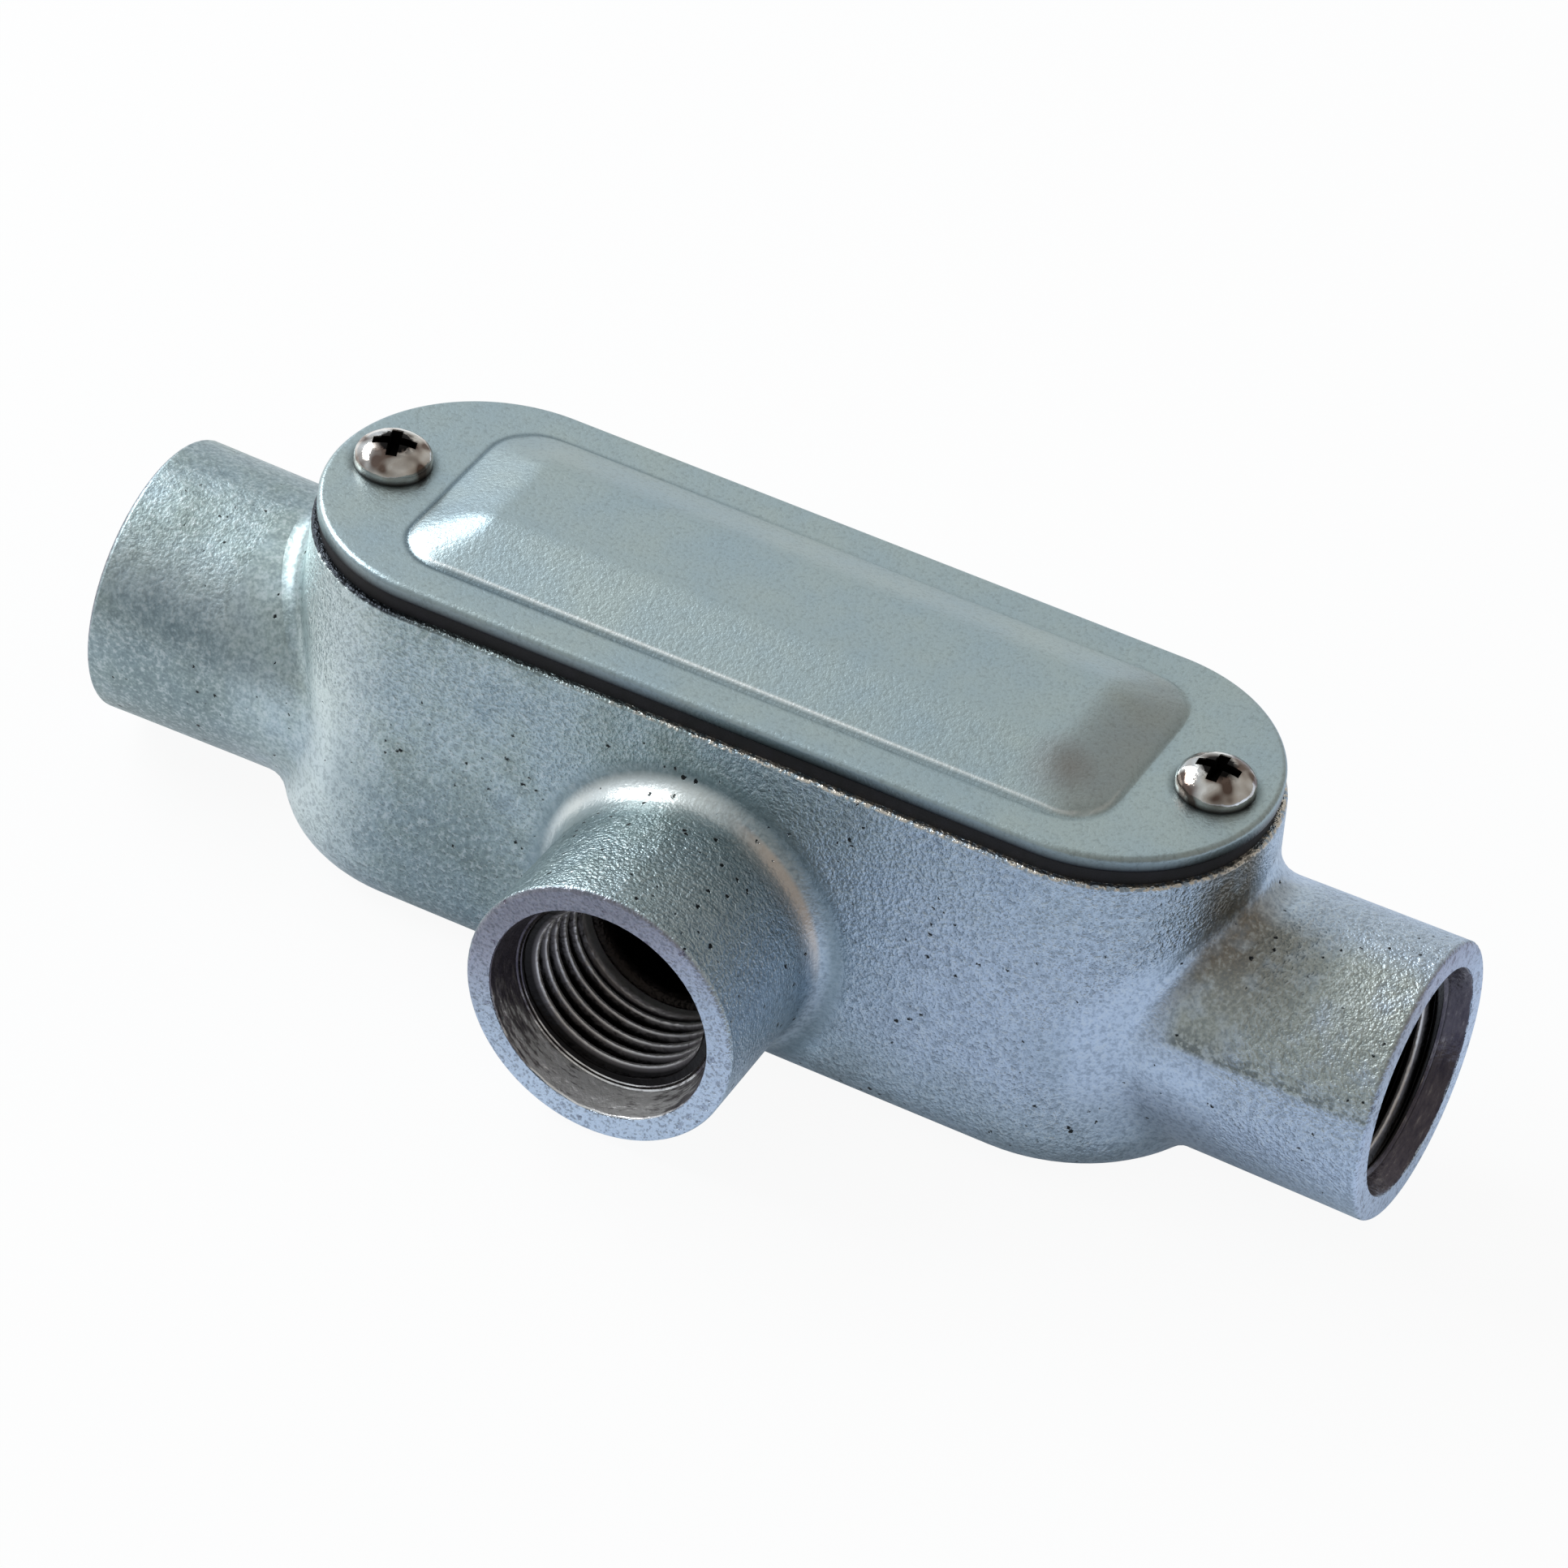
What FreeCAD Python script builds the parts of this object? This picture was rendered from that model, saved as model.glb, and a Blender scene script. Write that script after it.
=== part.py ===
import FreeCAD, Part
import math
import os

V = FreeCAD.Vector

# Casting: a long body with round ends, open at the top, standing on its flat underside at z = 0
END_CENTRE = 34.1        # middle of the body to the centre of each round end
RIM_WIDTH = 35.2         # outside width at the cover rim
RIM_RISE = 21.45         # cover rim above the hub axes
WALL_LEAN = 1.75         # degrees that the cast walls spread towards the base
WALL = 3.0
FLOOR = 3.2
BASE_ROUND = 5.2         # outside corner between wall and underside
CAVITY_ROUND = 2.6       # inside corner between wall and floor
RIM_BREAK = 0.4          # softened outer edge of the rim

# Hubs, threaded for half-inch conduit
RUN_OUT = 19.1           # face of a run hub beyond the rim
SIDE_OUT = 18.6          # face of the side hub beyond the rim
HUB_LIP = 2.6            # ring of metal round the mouth
HUB_LIFT = 0.5           # hubs stay this far above the underside
HUB_LEAN = 0.7           # degrees that a hub narrows towards the body
HUB_ROOT = 3.0           # fillet where a hub grows out of the wall
FACE_BREAK = 0.5         # softened outer edge of a hub face
LEAD_R = 11.9            # mouth of the plain lead-in
LEAD_END_R = 11.0        # end of the plain lead-in
LEAD_DEPTH = 3.6
THREAD_R = 10.45         # mean root radius of the pipe thread
THROAT_R = 7.8           # smooth bushing past the thread
BUSH_LENGTH = 5.9        # bushing along the axis, from the thread to the wiring space
BUSH_ROUND = 1.6         # rounded lip of the bushing

# Screw bosses inside the ends
SCREW_INSET = 6.4        # screw inside the end of the rim
BOSS_R = 4.6
TAP_SPARE = 2.3          # tapped hole past the tip of the screw
BOSS_FLOOR = 1.0         # metal under the tapped hole before the boss tapers
BOSS_TIP_R = 0.4

# Gasket
GASKET_T = 1.5
GASKET_INSET = 0.3       # gasket edge inside the cover's edge
GASKET_OVERHANG = 0.35   # gasket opening inside the edge of the wiring space
GASKET_EAR = 1.0         # gasket kept past each boss
GASKET_CORNER = 6.0      # corners of its opening

# Cover
RIM_LEDGE = 0.45         # rim left bare outside the cover
COVER_T = 1.8
COVER_BREAK = 0.4        # rounded upper edge of the flange
PANEL_SIDE = 4.45        # flat flange beside the panel
PANEL_END = 12.75        # flat flange at each end of the panel
PANEL_CORNER = 5.0
PANEL_FLAT_WIDTH = 10.2  # flat of the panel between its slopes
PANEL_RISE = 2.75
PANEL_TOP_CORNER = 4.6
PANEL_TOP_ROUND = 12.0   # soft bend from the slope to the flat of the panel
PANEL_FOOT_ROUND = 1.6   # bend from the flange to the slope

# Screws, number 8 pan head
SHANK_R = 2.0
SHANK_LENGTH = 9.5       # under the head
TIP_CHAMFER = 0.5
HEAD_R = 3.95
HEAD_RIM = 0.75          # upright edge of the head
HEAD_HEIGHT = 2.75
RECESS_DEPTH = 1.9
RECESS_SPAN = 4.9        # across two opposite wings at the top
RECESS_WING = 1.25       # thickness of a wing
RECESS_TAPER = 0.45      # how far a wing draws in towards its foot
RECESS_CLEAR = 0.2       # cutter above the top of the head
LEFT_TURN = 20.0         # degrees the recess is turned
RIGHT_TURN = 5.0

# Clearances
SCREW_PLAY = 0.05        # shank to tapped hole
HOLE_PLAY = 0.4          # shank to the holes in gasket and cover

# Worked out from the sizes above
HUB_R = LEAD_R + HUB_LIP
AXIS_Z = HUB_R + HUB_LIFT
RIM_Z = AXIS_Z + RIM_RISE
RUN_FACE = END_CENTRE + RIM_WIDTH / 2 + RUN_OUT
SIDE_FACE = RIM_WIDTH / 2 + SIDE_OUT
SCREW_X = END_CENTRE + RIM_WIDTH / 2 - SCREW_INSET
COVER_WIDTH = RIM_WIDTH - 2 * RIM_LEDGE
COVER_Z = RIM_Z + GASKET_T
FLANGE_TOP = COVER_Z + COVER_T
PANEL_LENGTH = 2 * END_CENTRE + COVER_WIDTH - 2 * PANEL_END
PANEL_WIDTH = COVER_WIDTH - 2 * PANEL_SIDE
PANEL_SLOPE = (PANEL_WIDTH - PANEL_FLAT_WIDTH) / 2
TAP_R = SHANK_R + SCREW_PLAY
TAP_DEPTH = SHANK_LENGTH - COVER_T - GASKET_T + TAP_SPARE
BOSS_DEPTH = TAP_DEPTH + BOSS_FLOOR


def stadium_face(width, z):
    """Flat face with straight sides and round ends."""
    r = width / 2
    right = Part.Arc(V(END_CENTRE, -r, z), V(END_CENTRE + r, 0, z), V(END_CENTRE, r, z))
    left = Part.Arc(V(-END_CENTRE, r, z), V(-END_CENTRE - r, 0, z), V(-END_CENTRE, -r, z))
    near = Part.LineSegment(V(-END_CENTRE, -r, z), V(END_CENTRE, -r, z))
    far = Part.LineSegment(V(END_CENTRE, r, z), V(-END_CENTRE, r, z))
    edges = [near.toShape(), right.toShape(), far.toShape(), left.toShape()]
    return Part.Face(Part.Wire(edges))


def leaning_block(top_width, z_top, z_low):
    """Round-ended block whose walls spread downwards by the casting's lean."""
    height = z_top - z_low
    spread = height * math.tan(math.radians(WALL_LEAN))
    r_top = top_width / 2
    r_low = r_top + spread
    corners = [(-r_low, z_low), (r_low, z_low), (r_top, z_top), (-r_top, z_top)]
    points = [V(-END_CENTRE, y, z) for y, z in corners]
    section = Part.Face(Part.makePolygon(points + points[:1]))
    block = section.extrude(V(2 * END_CENTRE, 0, 0))
    for x in (-END_CENTRE, END_CENTRE):
        block = block.fuse(Part.makeCone(r_low, r_top, height, V(x, 0, z_low)))
    return block.removeSplitter()


def edges_at(shape, z):
    """Edges that lie wholly in the level z."""
    found = []
    for edge in shape.Edges:
        box = edge.BoundBox
        if abs(box.ZMin - z) < 0.001 and abs(box.ZMax - z) < 0.001:
            found.append(edge)
    return found


def turned(shape, angle):
    """A copy turned about Z."""
    copy = shape.copy()
    copy.rotate(V(0, 0, 0), V(0, 0, 1), angle)
    return copy


def at_hub(shape, angle):
    """A shape made along +X from the origin, put on its hub's axis."""
    placed = turned(shape, angle)
    placed.translate(V(0, 0, AXIS_Z))
    return placed


def hub_radius(from_face):
    """Outside radius of a hub at a distance inwards from its face."""
    return HUB_R - from_face * math.tan(math.radians(HUB_LEAN))


def hub_outside(start, face):
    """Solid slightly conical hub along +X with a softened face edge."""
    length = face - start
    hub = Part.makeCone(hub_radius(length), HUB_R, length, V(start, 0, 0), V(1, 0, 0))
    rim = [edge for edge in hub.Edges if edge.BoundBox.XMin > face - FACE_BREAK]
    return hub.makeFillet(FACE_BREAK, rim)


def hub_inside(face, inner_wall):
    """What is bored out of a hub along +X: lead-in, thread bore and rounded bushing."""
    lead_end = face - LEAD_DEPTH
    thread_end = inner_wall + BUSH_LENGTH
    lip = THROAT_R + BUSH_ROUND
    past = inner_wall - WALL
    half = math.sqrt(0.5) * BUSH_ROUND
    outer_mid = V(thread_end - BUSH_ROUND + half, 0, lip - half)
    inner_mid = V(inner_wall + BUSH_ROUND - half, 0, lip - half)
    path = [
        Part.LineSegment(V(past, 0, 0), V(face, 0, 0)),
        Part.LineSegment(V(face, 0, 0), V(face, 0, LEAD_R)),
        Part.LineSegment(V(face, 0, LEAD_R), V(lead_end, 0, LEAD_END_R)),
        Part.LineSegment(V(lead_end, 0, LEAD_END_R), V(lead_end, 0, THREAD_R)),
        Part.LineSegment(V(lead_end, 0, THREAD_R), V(thread_end, 0, THREAD_R)),
        Part.LineSegment(V(thread_end, 0, THREAD_R), V(thread_end, 0, lip)),
        Part.Arc(V(thread_end, 0, lip), outer_mid, V(thread_end - BUSH_ROUND, 0, THROAT_R)),
        Part.LineSegment(V(thread_end - BUSH_ROUND, 0, THROAT_R), V(inner_wall + BUSH_ROUND, 0, THROAT_R)),
        Part.Arc(V(inner_wall + BUSH_ROUND, 0, THROAT_R), inner_mid, V(inner_wall, 0, lip)),
        Part.LineSegment(V(inner_wall, 0, lip), V(past, 0, lip)),
        Part.LineSegment(V(past, 0, lip), V(past, 0, 0)),
    ]
    profile = Part.Face(Part.Wire([piece.toShape() for piece in path]))
    return profile.revolve(V(0, 0, 0), V(1, 0, 0), 360)


def wall_reach(z, inset):
    """Distance of the long wall from the middle plane at level z, less an inset."""
    return RIM_WIDTH / 2 + (RIM_Z - z) * math.tan(math.radians(WALL_LEAN)) - inset


def hub_list():
    """Direction, face distance and inner wall distance of the three hubs."""
    side_inner = wall_reach(AXIS_Z, WALL)
    run_inner = END_CENTRE + side_inner
    return [(0, RUN_FACE, run_inner), (180, RUN_FACE, run_inner), (-90, SIDE_FACE, side_inner)]


def root_edges(shape, angle, face):
    """Edges where the hub at this direction meets the body's walls."""
    found = []
    probe = turned(shape, -angle)
    probe.translate(V(0, 0, -AXIS_Z))
    for edge, along_x in zip(shape.Edges, probe.Edges):
        points = along_x.discretize(9)
        misses = [abs(math.hypot(p.y, p.z) - hub_radius(face - p.x)) for p in points]
        reach = [p.x for p in points]
        if max(misses) < 0.01 and min(reach) > 0 and max(reach) < face - 2 * FACE_BREAK:
            found.append(edge)
    return found


def screw_boss(x):
    """Boss that hangs from the rim inside an end, with a coned foot."""
    straight_low = RIM_Z - BOSS_DEPTH
    boss = Part.makeCylinder(BOSS_R, BOSS_DEPTH, V(x, 0, straight_low))
    foot = Part.makeCone(BOSS_TIP_R, BOSS_R, BOSS_R, V(x, 0, straight_low - BOSS_R))
    return boss.fuse(foot)


def body():
    """The whole casting."""
    block = leaning_block(RIM_WIDTH, RIM_Z, 0)
    block = block.makeFillet(BASE_ROUND, edges_at(block, 0))
    outside = block
    for angle, face, inner_wall in hub_list():
        outside = outside.fuse(at_hub(hub_outside(inner_wall / 2, face), angle))
    outside = outside.removeSplitter()
    roots = []
    for angle, face, inner_wall in hub_list():
        roots += root_edges(outside, angle, face)
    outside = outside.makeFillet(HUB_ROOT, roots)
    outside = outside.makeFillet(RIM_BREAK, edges_at(outside, RIM_Z))
    cavity = leaning_block(RIM_WIDTH - 2 * WALL, RIM_Z, FLOOR)
    cavity = cavity.makeFillet(CAVITY_ROUND, edges_at(cavity, FLOOR))
    casting = outside.cut(cavity)
    for x in (-SCREW_X, SCREW_X):
        casting = casting.fuse(screw_boss(x).common(block))
    for angle, face, inner_wall in hub_list():
        casting = casting.cut(at_hub(hub_inside(face, inner_wall), angle))
    for x in (-SCREW_X, SCREW_X):
        casting = casting.cut(Part.makeCylinder(TAP_R, TAP_DEPTH, V(x, 0, RIM_Z - TAP_DEPTH)))
    return casting.removeSplitter()


def rounded_outline(length, width, corner, z):
    """Rectangle outline with round corners about the middle of the body."""
    x = length / 2
    y = width / 2
    near = corner * (1 - math.sqrt(0.5))
    edges = []
    for sx, sy in ((1, 1), (-1, 1), (-1, -1), (1, -1)):
        side = V(sx * x, sy * (y - corner), z)
        middle = V(sx * (x - near), sy * (y - near), z)
        end = V(sx * (x - corner), sy * y, z)
        if sx * sy < 0:
            side, end = end, side
        edges.append(Part.Arc(side, middle, end).toShape())
        if sx * sy > 0:
            edges.append(Part.LineSegment(end, V(-sx * (x - corner), sy * y, z)).toShape())
        else:
            edges.append(Part.LineSegment(end, V(sx * x, -sy * (y - corner), z)).toShape())
    return Part.Wire(edges)


def gasket():
    """Flat gasket with a long opening and a hole for each screw."""
    land = stadium_face(COVER_WIDTH - 2 * GASKET_INSET, RIM_Z)
    sheet = land.extrude(V(0, 0, GASKET_T))
    open_length = 2 * (SCREW_X - BOSS_R - GASKET_EAR)
    open_width = RIM_WIDTH - 2 * WALL - 2 * GASKET_OVERHANG
    opening = Part.Face(rounded_outline(open_length, open_width, GASKET_CORNER, RIM_Z))
    sheet = sheet.cut(opening.extrude(V(0, 0, GASKET_T)))
    for x in (-SCREW_X, SCREW_X):
        sheet = sheet.cut(Part.makeCylinder(SHANK_R + HOLE_PLAY, GASKET_T, V(x, 0, RIM_Z)))
    return sheet


def panel_block(inset, z):
    """Raised panel as a solid from level z up, drawn in by an inset on every side."""
    foot = rounded_outline(PANEL_LENGTH - 2 * inset, PANEL_WIDTH - 2 * inset, PANEL_CORNER - inset, z)
    top_inset = PANEL_SLOPE + inset
    top_length = PANEL_LENGTH - 2 * top_inset
    top_width = PANEL_WIDTH - 2 * top_inset
    top = rounded_outline(top_length, top_width, PANEL_TOP_CORNER, z + PANEL_RISE)
    return Part.makeLoft([foot, top], True, True)


def panel_edges(shape, z):
    """Edges of the panel's outline at level z, without the edge of the flange."""
    found = []
    for edge in edges_at(shape, z):
        box = edge.BoundBox
        long_reach = max(abs(box.XMin), abs(box.XMax))
        side_reach = max(abs(box.YMin), abs(box.YMax))
        if long_reach < PANEL_LENGTH / 2 + 0.01 and side_reach < PANEL_WIDTH / 2 + 0.01:
            found.append(edge)
    return found


def cover():
    """Stamped plate: flange with a rolled edge, raised panel of the same sheet, two screw holes."""
    plate = stadium_face(COVER_WIDTH, COVER_Z).extrude(V(0, 0, COVER_T))
    plate = plate.makeFillet(COVER_BREAK, edges_at(plate, FLANGE_TOP))
    plate = plate.fuse(panel_block(0, FLANGE_TOP)).removeSplitter()
    plate = plate.makeFillet(PANEL_TOP_ROUND, edges_at(plate, FLANGE_TOP + PANEL_RISE))
    plate = plate.makeFillet(PANEL_FOOT_ROUND, panel_edges(plate, FLANGE_TOP))
    slope_angle = math.atan(PANEL_RISE / PANEL_SLOPE)
    plate = plate.cut(panel_block(COVER_T * math.tan(slope_angle / 2), COVER_Z))
    for x in (-SCREW_X, SCREW_X):
        plate = plate.cut(Part.makeCylinder(SHANK_R + HOLE_PLAY, COVER_T, V(x, 0, COVER_Z)))
    return plate


def recess_wing(turn):
    """One of the two crossed wedges of the driver recess, centred on the Z axis at z = 0."""
    outlines = []
    for z, draw_in in ((RECESS_CLEAR, 0), (-RECESS_DEPTH, RECESS_TAPER)):
        span = RECESS_SPAN / 2 - 2 * draw_in
        wing = RECESS_WING / 2 - draw_in / 2
        corners = [(span, wing), (-span, wing), (-span, -wing), (span, -wing)]
        points = [V(x, y, z) for x, y in corners]
        outlines.append(Part.makePolygon(points + points[:1]))
    return turned(Part.makeLoft(outlines, True, True), turn)


def screw(x, turn):
    """Pan head screw seated on the cover, shank down into its boss."""
    dome = Part.Ellipse(V(0, 0, 0), HEAD_R, HEAD_HEIGHT - HEAD_RIM)
    quarter = Part.ArcOfEllipse(dome, 0, math.pi / 2).toShape()
    quarter.rotate(V(0, 0, 0), V(1, 0, 0), 90)
    quarter.translate(V(0, 0, HEAD_RIM))
    tip_r = SHANK_R - TIP_CHAMFER
    path = [
        Part.LineSegment(V(0, 0, HEAD_HEIGHT), V(0, 0, -SHANK_LENGTH)),
        Part.LineSegment(V(0, 0, -SHANK_LENGTH), V(tip_r, 0, -SHANK_LENGTH)),
        Part.LineSegment(V(tip_r, 0, -SHANK_LENGTH), V(SHANK_R, 0, TIP_CHAMFER - SHANK_LENGTH)),
        Part.LineSegment(V(SHANK_R, 0, TIP_CHAMFER - SHANK_LENGTH), V(SHANK_R, 0, 0)),
        Part.LineSegment(V(SHANK_R, 0, 0), V(HEAD_R, 0, 0)),
        Part.LineSegment(V(HEAD_R, 0, 0), V(HEAD_R, 0, HEAD_RIM)),
    ]
    profile = Part.Face(Part.Wire([piece.toShape() for piece in path] + [quarter]))
    piece = profile.revolve(V(0, 0, 0), V(0, 0, 1), 360)
    for wing_turn in (turn, turn + 90):
        wing = recess_wing(wing_turn)
        wing.translate(V(0, 0, HEAD_HEIGHT))
        piece = piece.cut(wing)
    piece.translate(V(x, 0, FLANGE_TOP))
    return piece


pieces = {
    "body": body(),
    "gasket": gasket(),
    "cover": cover(),
    "left_screw": screw(-SCREW_X, LEFT_TURN),
    "right_screw": screw(SCREW_X, RIGHT_TURN),
}
os.makedirs("parts", exist_ok=True)
for name, shape in pieces.items():
    print(name, shape.isValid(), len(shape.Solids), round(shape.Volume, 1))
    shape.Solids[0].exportStep("parts/" + name + ".step")
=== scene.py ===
import math

import bpy
import numpy as np
from mathutils import Matrix, Vector


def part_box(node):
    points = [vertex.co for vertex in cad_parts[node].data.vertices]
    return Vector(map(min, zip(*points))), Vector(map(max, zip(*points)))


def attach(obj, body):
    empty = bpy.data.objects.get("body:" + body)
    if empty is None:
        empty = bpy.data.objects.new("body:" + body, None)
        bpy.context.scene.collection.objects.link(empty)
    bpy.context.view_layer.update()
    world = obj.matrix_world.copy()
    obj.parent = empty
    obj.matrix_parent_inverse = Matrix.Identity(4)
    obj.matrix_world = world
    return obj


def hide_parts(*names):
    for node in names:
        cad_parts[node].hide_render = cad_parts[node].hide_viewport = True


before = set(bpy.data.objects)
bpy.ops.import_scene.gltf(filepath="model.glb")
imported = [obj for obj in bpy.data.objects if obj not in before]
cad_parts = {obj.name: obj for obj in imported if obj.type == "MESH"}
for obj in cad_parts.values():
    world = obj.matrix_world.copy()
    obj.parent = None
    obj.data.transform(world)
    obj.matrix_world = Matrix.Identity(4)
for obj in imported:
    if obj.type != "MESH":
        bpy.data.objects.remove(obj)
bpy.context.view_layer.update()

MM = 0.001

# Body. The real piece is one malleable iron sand casting, plated with zinc: a round-ended
# housing with three threaded hubs. Its node keeps the exact shape, and this gives the finish.
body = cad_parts["body"]
body_low, body_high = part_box("body")
RIM_Z = body_high.z
RUN_FACE = body_high.x
SIDE_FACE = -body_low.y
AXIS_Z = 15.0 * MM
BORE_SHADE_R = 11.3 * MM
ROOT_LINE = -15.6 * MM
WALL_SHADE_AT = (-27.0 * MM, -18.0 * MM, 9.0 * MM)
HUB_STAIN_AT = (-62.0 * MM, -13.0 * MM, 8.0 * MM)
DARK_PATCH_R = 18.0 * MM
FACE_R = 14.0 * MM
FAR_AWAY = 100.0
UP_LEFT = (-0.55 / MM, 0, 0.83 / MM)
UP_RIGHT = (0.80 / MM, 0, 0.60 / MM)

# Sizes of the casting's patterns, from patches of plating a hub wide down to the foundry sand.
# Its grains, about 0.2 mm wide, are drawn a little coarser than that, so that they show.
PATCH = 15.0 * MM
BLOTCH = 4.0 * MM
SWELL = 8.0 * MM
LUMP = 1.9 * MM
GRAIN = 0.66 * MM
FINE_GRAIN = 0.33 * MM
PIT = 1.25 * MM
WARP = (0.5 * MM, 0.5 * MM, 0.5 * MM)


def linear(colour):
    """An sRGB hex colour as the linear red, green, blue and alpha that sockets hold."""
    parts = np.array([int(colour[i:i + 2], 16) for i in (1, 3, 5)]) / 255
    low = parts / 12.92
    high = ((parts + 0.055) / 1.055) ** 2.4
    return (*np.where(parts <= 0.04045, low, high).tolist(), 1.0)


def feed(tree, node, feeds):
    """Feeds a node's sockets, each from a value, a socket, or another node's first live output."""
    for name, value in feeds.items():
        if isinstance(value, bpy.types.Node):
            value = next(socket for socket in value.outputs if socket.enabled)
        if isinstance(value, bpy.types.NodeSocket):
            tree.links.new(value, node.inputs[name])
        else:
            node.inputs[name].default_value = value


def add(tree, kind, feeds, stops=(), **settings):
    """Adds a shader node. Settings are its options, feeds go to its sockets, and stops to its ramp."""
    made = tree.nodes.new("ShaderNode" + kind)
    for name, value in settings.items():
        setattr(made, name, value)
    feed(tree, made, feeds)
    for number, (position, colour) in enumerate(stops):
        if number >= len(made.color_ramp.elements):
            made.color_ramp.elements.new(position)
        made.color_ramp.elements[number].position = position
        made.color_ramp.elements[number].color = colour
    return made


def new_material(name):
    """An empty material with its shader, its node tree and its Object coordinates."""
    material = bpy.data.materials.new(name)
    material.use_nodes = True
    tree = material.node_tree
    tree.nodes.clear()
    shader = add(tree, "BsdfPrincipled", {})
    add(tree, "OutputMaterial", {"Surface": shader})
    place = add(tree, "TexCoord", {}).outputs["Object"]
    return material, tree, shader, place


def give(piece, material):
    """Puts one material on the whole of a piece."""
    piece.data.materials.clear()
    piece.data.materials.append(material)


# Zinc-plated cast iron: a bluish metal whose sandy cast skin breaks reflections into specks. Its plating
# is mottled, with dark open pits, and greener and duller on the right hub's shoulder, partly as a painted
# reflection.
casting, tree, shader, place = new_material("zinc_plated_cast_iron")
axes = add(tree, "SeparateXYZ", {"Vector": place}).outputs
patches = add(tree, "TexNoise", {"Vector": place, "Scale": 1 / PATCH, "Detail": 3.0, "Roughness": 0.65})
blotches = add(tree, "TexNoise", {"Vector": place, "Scale": 1 / BLOTCH, "Detail": 3.0, "Roughness": 0.6})
swell = add(tree, "TexNoise", {"Vector": place, "Scale": 1 / SWELL, "Detail": 1.0})
lumps = add(tree, "TexNoise", {"Vector": place, "Scale": 1 / LUMP, "Detail": 1.0})
grain = add(tree, "TexNoise", {"Vector": place, "Scale": 1 / GRAIN, "Detail": 2.0, "Roughness": 0.6})
fine = add(tree, "TexNoise", {"Vector": place, "Scale": 1 / FINE_GRAIN, "Detail": 1.0})

# How far a point lies from the nearer hub axis, and how far it stands behind a hub's face. The
# side hub's axis ends at the run, so behind it the distance is made too large to count.
centred = add(tree, "VectorMath", {0: place, 1: (0, 0, AXIS_Z)}, operation="SUBTRACT")
across_run = add(tree, "VectorMath", {0: centred, 1: (0, 1, 1)}, operation="MULTIPLY")
run_radius = add(tree, "VectorMath", {0: across_run}, operation="LENGTH")
across_side = add(tree, "VectorMath", {0: centred, 1: (1, 0, 1)}, operation="MULTIPLY")
side_radius = add(tree, "VectorMath", {0: across_side}, operation="LENGTH")
far_half = add(tree, "Math", {0: axes["Y"], 1: 0.0}, operation="MAXIMUM")
side_radius = add(tree, "Math", {0: far_half, 1: FAR_AWAY, 2: side_radius}, operation="MULTIPLY_ADD")
hub_radius = add(tree, "Math", {0: run_radius, 1: side_radius}, operation="MINIMUM")
inside = add(tree, "MapRange", {
    "Value": hub_radius, "From Min": BORE_SHADE_R, "From Max": BORE_SHADE_R - 0.3 * MM})
from_middle_x = add(tree, "Math", {0: axes["X"]}, operation="ABSOLUTE")
behind_run = add(tree, "Math", {0: from_middle_x, 1: RUN_FACE}, operation="SUBTRACT")
behind_side = add(tree, "Math", {0: axes["Y"], 1: -1.0, 2: -SIDE_FACE}, operation="MULTIPLY_ADD")
behind = add(tree, "Math", {0: behind_run, 1: behind_side}, operation="MAXIMUM")
face = add(tree, "MapRange", {"Value": behind, "From Min": -0.35 * MM, "From Max": -0.1 * MM})

# Mottled plating: blue, pale and greenish grey, by patches a hub wide and blotches within them.
mottle = add(tree, "Mix", {"Factor": 0.4, "A": patches, "B": blotches}, data_type="FLOAT")
tint = add(tree, "ValToRGB", {"Fac": mottle}, stops=[
    (0.34, linear("#93a8b2")), (0.44, linear("#b0c3ca")), (0.54, linear("#adbfc1")),
    (0.66, linear("#9aa9a6"))])

# The plating is painted more blue and brighter towards the right hub, partly its own colour and partly
# painted reflected light. The effect is less by the rim and the floor, so the plating is painted darker
# low down. It is painted lighter, as painted light, at the left end and a little on the side hub. Two dark
# patches lie low down: painted shade on the near wall left of the side hub, and tarnished plating on the
# left hub.
bluer_and_lit = add(tree, "MapRange", {
    "Value": axes["X"], "From Min": -5.0 * MM, "From Max": 25.0 * MM, "To Max": 0.75})
lower_down = add(tree, "MapRange", {
    "Value": axes["Z"], "From Min": 33.0 * MM, "From Max": 24.0 * MM, "To Min": 0.75})
by_floor = add(tree, "MapRange", {
    "Value": axes["Z"], "From Min": 12.0 * MM, "From Max": 3.0 * MM, "To Min": 1.0, "To Max": 0.35})
bluer_and_lit = add(tree, "Math", {0: bluer_and_lit, 1: lower_down}, operation="MULTIPLY")
bluer_and_lit = add(tree, "Math", {0: bluer_and_lit, 1: by_floor}, operation="MULTIPLY")
plated = add(tree, "Mix", {"Factor": bluer_and_lit, "A": tint, "B": linear("#c7d6ec")}, data_type="RGBA")
on_side_hub = add(tree, "MapRange", {
    "Value": behind_side, "From Min": ROOT_LINE - 1.0 * MM, "From Max": ROOT_LINE + 2.0 * MM})
at_left_end = add(tree, "MapRange", {"Value": axes["X"], "From Min": -34.0 * MM, "From Max": -50.0 * MM})
below_hub = add(tree, "MapRange", {"Value": run_radius, "From Min": 14.6 * MM, "From Max": 16.6 * MM})
at_left_end = add(tree, "Math", {0: at_left_end, 1: below_hub}, operation="MULTIPLY")
some_side = add(tree, "Math", {0: on_side_hub, 1: 0.15}, operation="MULTIPLY")
painted_lighter = add(tree, "Math", {0: at_left_end, 1: some_side}, operation="MAXIMUM")
# Painted light: lighter plating at the left end and a little on the side hub.
plated = add(tree, "Mix", {"Factor": painted_lighter, "A": plated, "B": linear("#f2fefc")}, data_type="RGBA")
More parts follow.
